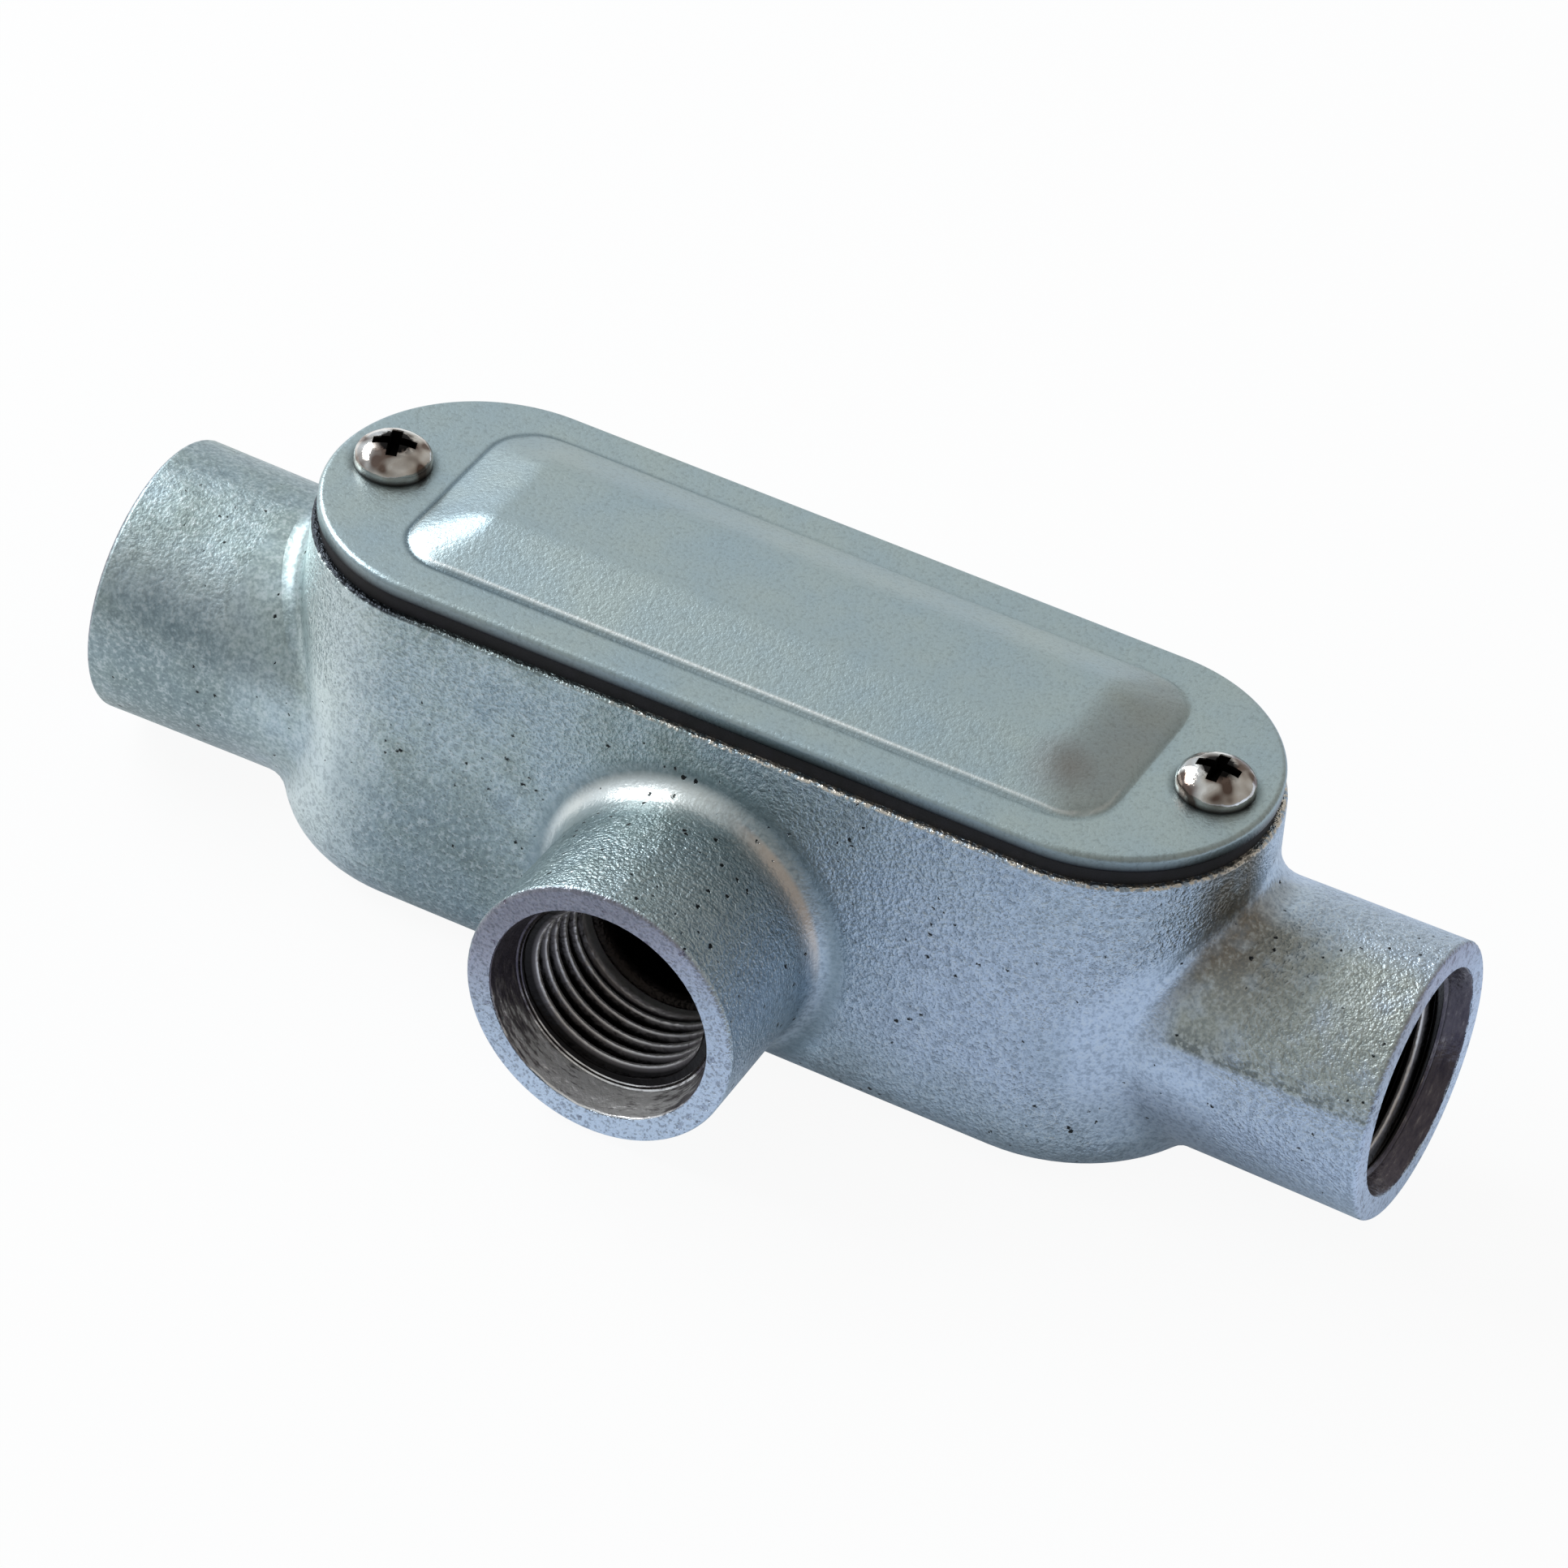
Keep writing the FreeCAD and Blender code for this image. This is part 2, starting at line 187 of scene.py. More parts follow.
# Painted shade on the near wall left of the side hub, and tarnished plating on the left hub.
from_wall_shade = add(tree, "VectorMath", {0: place, 1: WALL_SHADE_AT}, operation="DISTANCE")
from_hub_stain = add(tree, "VectorMath", {0: place, 1: HUB_STAIN_AT}, operation="DISTANCE")
nearer_dark_patch = add(tree, "Math", {0: from_wall_shade, 1: from_hub_stain}, operation="MINIMUM")
dark_patch_reach = add(tree, "Math", {0: blotches, 1: 8.0 * MM, 2: nearer_dark_patch}, operation="MULTIPLY_ADD")
shade_and_tarnish = add(tree, "MapRange", {
    "Value": dark_patch_reach, "From Min": DARK_PATCH_R, "From Max": DARK_PATCH_R / 2, "To Max": 0.50})
plated = add(tree, "Mix", {"Factor": shade_and_tarnish, "A": plated, "B": linear("#62767b")}, data_type="RGBA")

# The right hub's shoulder, which faces up and forward, has a duller, greener, rougher skin with ragged
# edges, brown by the wall, and a dark dotted line along its lower edge. Its darker colour is partly
# tarnished plating and partly a painted reflection of the dim room.
shoulder_up = add(tree, "MapRange", {
    "Value": axes["Z"], "From Min": AXIS_Z + 3.9 * MM, "From Max": AXIS_Z + 4.5 * MM})
shoulder_near = add(tree, "MapRange", {"Value": axes["Y"], "From Min": -0.5 * MM, "From Max": -3.5 * MM})
shoulder_out = add(tree, "MapRange", {"Value": axes["X"], "From Min": 48.6 * MM, "From Max": 50.2 * MM})
shoulder = add(tree, "Math", {0: shoulder_up, 1: shoulder_near}, operation="MULTIPLY")
shoulder = add(tree, "Math", {0: shoulder, 1: shoulder_out}, operation="MULTIPLY")
ragged = add(tree, "MapRange", {"Value": blotches, "From Min": 0.30, "From Max": 0.50, "To Min": 0.35})
dull = add(tree, "Math", {0: shoulder, 1: ragged}, operation="MULTIPLY")
by_wall = add(tree, "MapRange", {"Value": axes["X"], "From Min": 62.0 * MM, "From Max": 53.0 * MM})
high_up = add(tree, "MapRange", {
    "Value": axes["Z"], "From Min": AXIS_Z + 7.5 * MM, "From Max": AXIS_Z + 12.0 * MM, "To Min": 0.15})
brown_part = add(tree, "Math", {0: by_wall, 1: high_up}, operation="MULTIPLY")
tarnish_and_reflection = add(tree, "Mix", {
    "Factor": brown_part, "A": linear("#b7c0bd"), "B": linear("#918d85")}, data_type="RGBA")
skin = add(tree, "Mix", {"Factor": dull, "A": plated, "B": tarnish_and_reflection}, data_type="RGBA")
over_line = add(tree, "MapRange", {
    "Value": axes["Z"], "From Min": AXIS_Z + 6.4 * MM, "From Max": AXIS_Z + 4.6 * MM})
line_spots = add(tree, "MapRange", {
    "Value": grain, "From Min": 0.56, "From Max": 0.46, "To Min": 0.10, "To Max": 0.55})
dark_line = add(tree, "Math", {0: over_line, 1: line_spots}, operation="MULTIPLY")
dark_line = add(tree, "Math", {0: dark_line, 1: dull}, operation="MULTIPLY")
skin = add(tree, "Mix", {"Factor": dark_line, "A": skin, "B": linear("#565c5c")}, data_type="RGBA")

# The left hub is smoother. Its near side is darker below the middle, partly tarnished plating and partly a
# painted reflection of the dim room. It is painted lighter above the middle, as a painted reflection.
smoother = add(tree, "MapRange", {
    "Value": axes["X"], "From Min": -50.0 * MM, "From Max": -56.0 * MM, "To Max": 0.72})
below_light = add(tree, "MapRange", {
    "Value": axes["Z"], "From Min": AXIS_Z + 7.5 * MM, "From Max": AXIS_Z + 4.5 * MM, "To Min": 0.34,
    "To Max": 0.44})
tarnish_and_dark_reflection = add(tree, "Math", {0: smoother, 1: below_light}, operation="MULTIPLY")
skin = add(tree, "Mix", {"Factor": tarnish_and_dark_reflection, "A": skin, "B": linear("#74868a")}, data_type="RGBA")
over_light = add(tree, "MapRange", {
    "Value": axes["Z"], "From Min": AXIS_Z + 5.5 * MM, "From Max": AXIS_Z + 8.0 * MM, "To Max": 0.20})
under_top = add(tree, "MapRange", {
    "Value": axes["Z"], "From Min": AXIS_Z + 12.5 * MM, "From Max": AXIS_Z + 10.0 * MM})
painted_light_band = add(tree, "Math", {0: over_light, 1: under_top}, operation="MULTIPLY")
painted_light_band = add(tree, "Math", {0: painted_light_band, 1: smoother}, operation="MULTIPLY")
skin = add(tree, "Mix", {"Factor": painted_light_band, "A": skin, "B": linear("#f0f6f8")}, data_type="RGBA")

# The side hub's top is painted darker towards its upper left, as painted shade, and is less sandy there.
up_left = add(tree, "VectorMath", {0: centred, 1: UP_LEFT}, operation="DOT_PRODUCT")
shaded_hub_top = add(tree, "MapRange", {"Value": up_left, "From Min": 3.0, "From Max": 11.0, "To Max": 0.42})
shaded_hub_top = add(tree, "Math", {0: on_side_hub, 1: shaded_hub_top}, operation="MULTIPLY")
skin = add(tree, "Mix", {"Factor": shaded_hub_top, "A": skin, "B": linear("#6e8184")}, data_type="RGBA")

# Specks: darker in the hollows of the grain and lighter on its tops.
sand = add(tree, "Mix", {"Factor": 0.3, "A": grain, "B": fine}, data_type="FLOAT")
hollows = add(tree, "MapRange", {"Value": sand, "From Min": 0.52, "From Max": 0.36, "To Max": 0.36})
specked = add(tree, "Mix", {"Factor": hollows, "A": skin, "B": linear("#5f6b74")}, data_type="RGBA")
tops = add(tree, "MapRange", {"Value": sand, "From Min": 0.52, "From Max": 0.66, "To Max": 0.40})
topped = add(tree, "Mix", {"Factor": tops, "A": specked, "B": linear("#d3dde2")}, data_type="RGBA")

# The fillets at the hubs' roots are smoother than the sandy skin round them. The side hub's is painted
# darker along its outer part, as painted shade. Its inner part is painted bright towards the upper left, a
# painted highlight, with a thin pale line towards the upper right that is partly rust and partly a painted
# highlight.
at_root = add(tree, "MapRange", {
    "Value": behind, "From Min": ROOT_LINE + 1.6 * MM, "From Max": ROOT_LINE - 0.8 * MM})
by_root = add(tree, "MapRange", {"Value": hub_radius, "From Min": 18.4 * MM, "From Max": 16.8 * MM})
root = add(tree, "Math", {0: at_root, 1: by_root}, operation="MULTIPLY")
side_root = add(tree, "MapRange", {
    "Value": behind_side, "From Min": ROOT_LINE - 4.0 * MM, "From Max": ROOT_LINE - 2.5 * MM})
side_root = add(tree, "Math", {0: side_root, 1: root}, operation="MULTIPLY")
lit_side = add(tree, "MapRange", {"Value": up_left, "From Min": 8.5, "From Max": 14.0, "To Max": 0.9})
inner_part = add(tree, "MapRange", {"Value": hub_radius, "From Min": 16.5 * MM, "From Max": 15.4 * MM})
lit_part = add(tree, "Math", {0: inner_part, 1: lit_side}, operation="MULTIPLY")
outer_part = add(tree, "MapRange", {
    "Value": hub_radius, "From Min": 15.2 * MM, "From Max": 16.2 * MM, "To Max": 0.65})
root_painted_shade = add(tree, "Math", {0: side_root, 1: outer_part}, operation="MULTIPLY")
topped = add(tree, "Mix", {"Factor": root_painted_shade, "A": topped, "B": linear("#76888f")}, data_type="RGBA")
root_painted_highlight = add(tree, "Math", {0: side_root, 1: lit_part}, operation="MULTIPLY")
topped = add(tree, "Mix", {"Factor": root_painted_highlight, "A": topped, "B": linear("#f2f8f7")}, data_type="RGBA")
up_right = add(tree, "VectorMath", {0: centred, 1: UP_RIGHT}, operation="DOT_PRODUCT")
rusty_side = add(tree, "MapRange", {"Value": up_right, "From Min": 11.5, "From Max": 14.0, "To Max": 0.75})
thin_part = add(tree, "MapRange", {"Value": hub_radius, "From Min": 15.25 * MM, "From Max": 14.95 * MM})
rust_and_highlight_part = add(tree, "Math", {0: thin_part, 1: rusty_side}, operation="MULTIPLY")
root_rust_and_highlight = add(tree, "Math", {0: side_root, 1: rust_and_highlight_part}, operation="MULTIPLY")
topped = add(tree, "Mix", {"Factor": root_rust_and_highlight, "A": topped, "B": linear("#dbd0c6")}, data_type="RGBA")

# Pits: two cells in five hold a ragged dark hole, larger where the plating is green, on the
# side hub and on the cut faces.
warp = add(tree, "VectorMath", {0: fine.outputs["Color"], 1: WARP, 2: place}, operation="MULTIPLY_ADD")
cells = add(tree, "TexVoronoi", {"Vector": warp, "Scale": 1 / PIT})
pit_size = add(tree, "MapRange", {
    "Value": mottle, "From Min": 0.44, "From Max": 0.60, "To Min": 0.06, "To Max": 0.22})
pit_size = add(tree, "Math", {0: face, 1: 0.22, 2: pit_size}, operation="MULTIPLY_ADD")
pit_size = add(tree, "Math", {0: on_side_hub, 1: 0.08, 2: pit_size}, operation="MULTIPLY_ADD")
pit_edge = add(tree, "Math", {0: pit_size, 1: cells}, operation="SUBTRACT")
pit_depth = add(tree, "MapRange", {"Value": pit_edge, "From Min": 0.0, "From Max": 0.07})
chosen = add(tree, "Math", {0: cells.outputs["Color"], 1: 0.60}, operation="GREATER_THAN")
pits = add(tree, "Math", {0: pit_depth, 1: chosen}, operation="MULTIPLY")
pitted = add(tree, "Mix", {"Factor": pits, "A": topped, "B": linear("#2b2e30")}, data_type="RGBA")

# Faces were cut bright, with fine burrs, and are painted with reflection: pale blue low down, dark
# violet-brown towards the top and the left. The rim is rubbed and chipped along its right half, and
# painted with shade over its left part, most round its left end. The bores stay dark and unplated.
burrs = add(tree, "MapRange", {"Value": fine, "From Min": 0.45, "From Max": 0.35, "To Max": 0.55})
across = add(tree, "Clamp", {"Value": axes["X"], "Min": -FACE_R, "Max": FACE_R})
# Painted reflection on the cut faces: pale low down, darker towards the top and the left.
towards_shade = add(tree, "Math", {0: across, 1: -0.5, 2: axes["Z"]}, operation="MULTIPLY_ADD")
painted_face_reflection = add(tree, "MapRange", {
    "Value": towards_shade, "From Min": AXIS_Z - 13.0 * MM, "From Max": AXIS_Z + 13.0 * MM})
painted_face_reflection = add(tree, "ValToRGB", {"Fac": painted_face_reflection}, stops=[
    (0.1, linear("#cfddf0")), (0.5, linear("#bac7dc")), (0.8, linear("#a09db2")),
    (0.97, linear("#857d8e"))])
bare = add(tree, "Mix", {"Factor": burrs, "A": painted_face_reflection, "B": linear("#61606f")}, data_type="RGBA")
faced = add(tree, "Mix", {"Factor": 0.7, "A": pitted, "B": bare}, data_type="RGBA")
cut = add(tree, "Mix", {"Factor": face, "A": pitted, "B": faced}, data_type="RGBA")
near_rim = add(tree, "MapRange", {
    "Value": axes["Z"], "From Min": RIM_Z - 0.38 * MM, "From Max": RIM_Z - 0.22 * MM})
chips = add(tree, "MapRange", {"Value": grain, "From Min": 0.46, "From Max": 0.54})
chipped_half = add(tree, "MapRange", {"Value": axes["X"], "From Min": -18.0 * MM, "From Max": 0.0})
chips = add(tree, "Math", {0: chips, 1: chipped_half}, operation="MULTIPLY")
wear_and_highlight = add(tree, "Math", {0: near_rim, 1: chips}, operation="MULTIPLY")
rimmed = add(tree, "Mix", {"Factor": wear_and_highlight, "A": cut, "B": linear("#e3ddd2")}, data_type="RGBA")
# Painted shade along the rim below the gasket, over its left part and most round its left end.
unchipped = add(tree, "Math", {0: 1.0, 1: chipped_half}, operation="SUBTRACT")
painted_shade = add(tree, "Math", {0: near_rim, 1: unchipped}, operation="MULTIPLY")
end_rim_shade = add(tree, "MapRange", {
    "Value": axes["X"], "From Min": -26.0 * MM, "From Max": -36.0 * MM, "To Min": 0.25})
painted_shade = add(tree, "Math", {0: painted_shade, 1: end_rim_shade}, operation="MULTIPLY")
rimmed = add(tree, "Mix", {"Factor": painted_shade, "A": rimmed, "B": linear("#3b4046")}, data_type="RGBA")
bored = add(tree, "Mix", {"Factor": inside, "A": rimmed, "B": linear("#2c2826")}, data_type="RGBA")

# Gloss and relief. Worn and rounded places are smoother, and the sandy relief fades there.
gloss = add(tree, "MapRange", {
    "Value": mottle, "From Min": 0.35, "From Max": 0.65, "To Min": 0.34, "To Max": 0.42})
smooth = add(tree, "Math", {0: root, 1: 0.8, 2: smoother}, operation="MULTIPLY_ADD")
smooth = add(tree, "Math", {0: shaded_hub_top, 1: 0.5, 2: smooth}, operation="MULTIPLY_ADD")
sandy = add(tree, "Math", {0: 1.0, 1: smooth}, operation="SUBTRACT", use_clamp=True)
rough = add(tree, "Math", {0: dull, 1: 0.06, 2: gloss}, operation="MULTIPLY_ADD")
rough = add(tree, "Math", {0: root, 1: -0.04, 2: rough}, operation="MULTIPLY_ADD")
rough = add(tree, "Math", {0: smoother, 1: 0.08, 2: rough}, operation="MULTIPLY_ADD")
swell_bump = add(tree, "Bump", {"Height": swell, "Distance": 0.32 * MM})
lump_bump = add(tree, "Bump", {
    "Height": lumps, "Distance": 0.10 * MM, "Strength": sandy, "Normal": swell_bump})
grain_bump = add(tree, "Bump", {
    "Height": sand, "Distance": 0.24 * MM, "Strength": sandy, "Normal": lump_bump})
fine_bump = add(tree, "Bump", {
    "Height": fine, "Distance": 0.04 * MM, "Strength": sandy, "Normal": grain_bump})
pit_bump = add(tree, "Bump", {"Height": pits, "Distance": 0.10 * MM, "Normal": fine_bump}, invert=True)
feed(tree, shader, {"Base Color": bored, "Metallic": 1.0, "Roughness": rough, "Normal": pit_bump})
give(body, casting)

# Hub bores. Each hub is bored with a plain lead-in and tapped with a half-inch taper pipe
# thread, 14 turns an inch, cut after plating, so this is bare iron, dark with cutting oil.
PITCH = 25.4 / 14 * MM
MOUTH_R = 11.86 * MM
LEAD_END_R = 10.92 * MM
LEAD_STEPS = 14
BORE_R = 10.43 * MM
ROOT_R = 10.38 * MM
CREST_R = 9.25 * MM
TAPER = 1 / 32
CREST_FLAT = 0.16
ROOT_FLAT = 0.94
ROOT_TAPER = 0.3 * TAPER
START_SLOPE = 2.2
RUN_OUT = 2.0 * MM
RUN_OUT_END = 0.8 * MM
RAGGED = 0.09 * MM
CHATTER = 0.03 * MM
BEHIND_MOUTH = 0.03 * MM
BEHIND_LEAD = 0.05 * MM
HAIR = 0.02 * MM
ROUND_STEPS = 180
STEPS_A_TURN = 16
DEEP_LEAD = 3.6 * MM
SHALLOW_LEAD = 2.2 * MM
RUN_DEPTH = 15.5 * MM
SIDE_DEPTH = 15.0 * MM
STREAK = 0.7 * MM
STREAK_ACROSS = 1.6
STREAK_ALONG = 0.32
TOOL_MARK = 0.8 * MM


def bore_lining(lead_depth, whole):
    """A closed lining of a bore along +X, from its mouth at x = 0 inwards to the depth whole.

    Round the axis by angle a and inwards by s, the radius is a cone down the lead-in, with a
    ragged start. Below it a triangle wave, of s over the pitch less a over a full turn, swings
    the radius between root and crest with straight flanks and a flat crest. A countersink
    from the foot of the lead-in cuts the first turn, and the grooves run out at the far end.
    The back follows the bored wall. Besides points and faces it gives two values a point:
    shade, from 0 on the crests to 1 in the roots, and plain, which is 1 on the lead-in.
    """
    a = np.linspace(0, 2 * np.pi, ROUND_STEPS, endpoint=False)
    length = whole - lead_depth
    steps = int(length / PITCH * STEPS_A_TURN)
    s = np.concatenate([np.linspace(0, lead_depth, LEAD_STEPS, endpoint=False),
                        lead_depth + np.linspace(0, length, steps)])
    turn, depth = np.meshgrid(a, s)
    ragged = RAGGED * (1 + np.sin(7 * a + 1) * np.sin(16 * a))
    below = depth - lead_depth
    wave = 2 * np.abs((depth / PITCH + turn / (2 * np.pi)) % 1 - 0.5)
    groove = np.clip((wave - CREST_FLAT) / (ROOT_FLAT - CREST_FLAT), 0, 1)
    fade = np.clip((length - below - RUN_OUT_END) / RUN_OUT, 0, 1)
    crest = CREST_R - below * TAPER
    thread = crest + (ROOT_R - below * ROOT_TAPER - crest) * groove * fade
    lead = MOUTH_R + (LEAD_END_R - MOUTH_R) * depth / lead_depth + CHATTER * (groove - 1)
    radius = np.where(below < 0, lead, np.maximum(thread, LEAD_END_R - below * START_SLOPE))
    along = -depth - np.where(below < 0, ragged * (1 - depth / lead_depth) ** 2, 0)
    back = np.array([(-lead_depth - length, BORE_R), (-lead_depth - HAIR, BORE_R),
                     (-lead_depth + HAIR, LEAD_END_R + BEHIND_LEAD), (0, MOUTH_R + BEHIND_MOUTH)])
    back_along = np.repeat(back[:, :1], ROUND_STEPS, axis=1)
    back_along[-1] -= ragged
    back_radius = np.repeat(back[:, 1:], ROUND_STEPS, axis=1)
    along = np.concatenate([along, back_along])
    radius = np.concatenate([radius, back_radius])
    turns = np.broadcast_to(a, radius.shape)
    points = np.stack([along, radius * np.sin(turns), radius * np.cos(turns)], axis=-1).reshape(-1, 3)
    i, j = np.meshgrid(np.arange(len(radius)), np.arange(ROUND_STEPS), indexing="ij")
    under = (i + 1) % len(radius)
    beside = (j + 1) % ROUND_STEPS
    corners = [(i, j), (under, j), (under, beside), (i, beside)]
    faces = np.stack([row * ROUND_STEPS + column for row, column in corners], axis=-1).reshape(-1, 4)
    in_thread = (below >= 0) & (radius[:len(s)] > LEAD_END_R - below * START_SLOPE + HAIR / 2)
    shade = np.where(in_thread, np.clip((radius[:len(s)] - crest) / (ROOT_R - crest), 0, 1), 0.5)
    shade = np.concatenate([shade, np.ones((len(back), ROUND_STEPS))]).ravel()
    plain = np.concatenate([np.where(below < 0, 1.0, 0.0), np.ones((len(back), ROUND_STEPS))]).ravel()
    return points, faces, shade, plain


def new_piece(name, points, faces):
    """A smooth mesh piece from arrays of points and of faces."""
    mesh = bpy.data.meshes.new(name)
    mesh.from_pydata(points.tolist(), [], faces.tolist())
    mesh.polygons.foreach_set("use_smooth", np.ones(len(faces), bool))
    mesh.update()
    piece = bpy.data.objects.new(name, mesh)
    bpy.context.scene.collection.objects.link(piece)
    return piece


def store(piece, name, values):
    """Keeps one number a point on a piece, for its material to read."""
    kept = piece.data.attributes.new(name, "FLOAT", "POINT")
    kept.data.foreach_set("value", values.astype(np.float32))


# Cut iron: painted bright only on the crests as a painted highlight, near black down the flanks as painted
# shade, violet-brown in the lead-in. Streaks are drawn out round the bore, and are painted pale low down
# in the side hub as painted glints.
cut_iron, tree, shader, place = new_material("cut_iron_thread")
groove = add(tree, "Attribute", {}, attribute_name="groove").outputs["Fac"]
plain = add(tree, "Attribute", {}, attribute_name="plain").outputs["Fac"]
thread_highlight_and_shade = add(tree, "ValToRGB", {"Fac": groove}, stops=[
    (0.03, linear("#e6e4e4")), (0.20, linear("#625e60")), (0.50, linear("#131112"))])
axes = add(tree, "SeparateXYZ", {"Vector": place}).outputs
in_side_hub = add(tree, "MapRange", {"Value": axes["Y"], "From Min": -15.0 * MM, "From Max": -20.0 * MM})
along_bore = add(tree, "Mix", {
    "Factor": in_side_hub, "A": (STREAK_ACROSS, STREAK_ALONG, STREAK_ALONG),
    "B": (STREAK_ALONG, STREAK_ACROSS, STREAK_ALONG)}, data_type="VECTOR")
drawn_out = add(tree, "VectorMath", {0: place, 1: along_bore}, operation="MULTIPLY")
stain = add(tree, "TexNoise", {"Vector": drawn_out, "Scale": 1 / STREAK, "Detail": 3.0, "Roughness": 0.7})
# Painted glints: the streaks are brightened low down in the side hub's lead-in.
lower = add(tree, "MapRange", {
    "Value": axes["Z"], "From Min": AXIS_Z, "From Max": AXIS_Z - 11.0 * MM, "To Max": 0.46})
lower = add(tree, "Math", {0: lower, 1: in_side_hub}, operation="MULTIPLY")
streaks_and_glints = add(tree, "Math", {0: stain, 1: lower}, operation="ADD")
lead_tint = add(tree, "ValToRGB", {"Fac": streaks_and_glints}, stops=[
    (0.30, linear("#454150")), (0.60, linear("#625d66")), (0.76, linear("#949092")),
    (0.90, linear("#fafafa"))])
surface = add(tree, "Mix", {"Factor": plain, "A": thread_highlight_and_shade, "B": lead_tint}, data_type="RGBA")
metal = add(tree, "MapRange", {"Value": plain, "To Min": 0.75, "To Max": 0.65})
chatter = add(tree, "TexNoise", {"Vector": place, "Scale": 1 / TOOL_MARK, "Detail": 3.0})
chatter_bump = add(tree, "Bump", {"Height": chatter, "Distance": 0.12 * MM})
feed(tree, shader, {"Base Color": surface, "Metallic": metal, "Roughness": 0.28, "Normal": chatter_bump})

hubs = {
    "right_hub_thread": (0, RUN_FACE, SHALLOW_LEAD, RUN_DEPTH),
    "left_hub_thread": (180, RUN_FACE, SHALLOW_LEAD, RUN_DEPTH),
    "side_hub_thread": (-90, SIDE_FACE, DEEP_LEAD, SIDE_DEPTH),
}
for name, (angle, face_at, lead_depth, whole) in hubs.items():
    points, faces, shade, plain = bore_lining(lead_depth, whole)
    points[:, 0] += face_at
    c, s = math.cos(math.radians(angle)), math.sin(math.radians(angle))
    points = np.stack([c * points[:, 0] - s * points[:, 1], s * points[:, 0] + c * points[:, 1],
                       points[:, 2] + AXIS_Z], axis=-1)
    thread = new_piece(name, points, faces)
    store(thread, "groove", shade)
    store(thread, "plain", plain)
    give(thread, cut_iron)
    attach(thread, "root")

# Gasket. Black neoprene sheet, cut to the rim and squeezed under the cover. It is matt, with
# faint dust and small dimples.
DUST = 1.5 * MM
rubber, tree, shader, place = new_material("neoprene_sheet")
dust = add(tree, "TexNoise", {"Vector": place, "Scale": 1 / DUST, "Detail": 4.0})
dusty = add(tree, "ValToRGB", {"Fac": dust}, stops=[(0.4, linear("#060509")), (0.7, linear("#121018"))])
dimple = add(tree, "Bump", {"Height": dust, "Distance": 0.05 * MM})
feed(tree, shader, {"Base Color": dusty, "Roughness": 0.7, "Normal": dimple})
give(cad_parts["gasket"], rubber)

# Cover. Pressed from zinc-plated steel sheet: a flat flange that two screws hold, round a
# soft-cornered raised panel. The blank was punched, so its upper edge is drawn round and its
# lower one is sharp.
cover_low, cover_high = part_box("cover")
right_low, right_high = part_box("right_screw")
COVER_HALF = cover_high.x
COVER_R = cover_high.y
COVER_END = COVER_HALF - COVER_R
SHEET = 1.8 * MM
FLANGE_Z = cover_low.z + SHEET
RISE = cover_high.z - FLANGE_Z
SCREW_X = (right_low.x + right_high.x) / 2
HEAD_R = (right_high.x - right_low.x) / 2
HOLE_R = 2.4 * MM
PANEL_HALF_X = 38.5 * MM
PANEL_HALF_Y = 12.7 * MM
SLOPE_WIDTH = 7.7 * MM
EDGE_ROUND = 0.60 * MM
LOWER_BREAK = 0.25 * MM
FOOT_POWER = 3.2
TOP_POWER = 1.2
FOOT_STEP = 0.12
FOOT_STEP_RUN = 0.28 * MM
BROW = 0.20
GRID_X = (0, 30, 50), (30, 37, 18), (37, 39.6, 16)
GRID_Y = (0, 11.6, 30), (11.6, 13.5, 13)
OUTER_ROWS = 8
FAN_RINGS = 12
ARC_STEPS = 120
EDGE_STEPS = 9
WELD = 0.001 * MM


def panel_height(x, y):
    """How far the panel stands above the flange at x, y.

    Inwards from the foot on each side a share runs from 0 to 1 over the slope. The two shares
    join by a power mean, which rounds the corners, more softly the higher they are. The height
    follows the joined share up a short step at the foot, a straight slope and a soft brow.
    """
    u = np.clip((PANEL_HALF_X - np.abs(x)) / SLOPE_WIDTH, 0, 1)
    v = np.clip((PANEL_HALF_Y - np.abs(y)) / SLOPE_WIDTH, 0, 1)
    power = FOOT_POWER + (TOP_POWER - FOOT_POWER) * np.minimum(u, v)
    share = np.clip(1 - ((1 - u) ** power + (1 - v) ** power) ** (1 / power), 0, 1)
    climb = FOOT_STEP * (1 - np.exp(-share * SLOPE_WIDTH / FOOT_STEP_RUN)) + share
    soft = (climb + 1 - np.sqrt((climb - 1) ** 2 + BROW ** 2)) / 2
    floor_level = (1 - math.sqrt(1 + BROW ** 2)) / 2
    top_level = (2 + FOOT_STEP - math.sqrt(FOOT_STEP ** 2 + BROW ** 2)) / 2
    return RISE * (soft - floor_level) / (top_level - floor_level)


def outline_reach(x):
    """Half the width of the flange at x, inside its rounded edge: straight sides, round ends."""
    past = np.maximum(np.abs(x) - COVER_END, 0)
    return np.sqrt((COVER_R - EDGE_ROUND) ** 2 - past ** 2)


def joined(spans):
    """Rising values over spans of (from, to, count) in mm, each going on where the last one ends."""
    parts = [np.linspace(*spans[0])] + [np.linspace(*span)[1:] for span in spans[1:]]
    return np.concatenate(parts) * MM


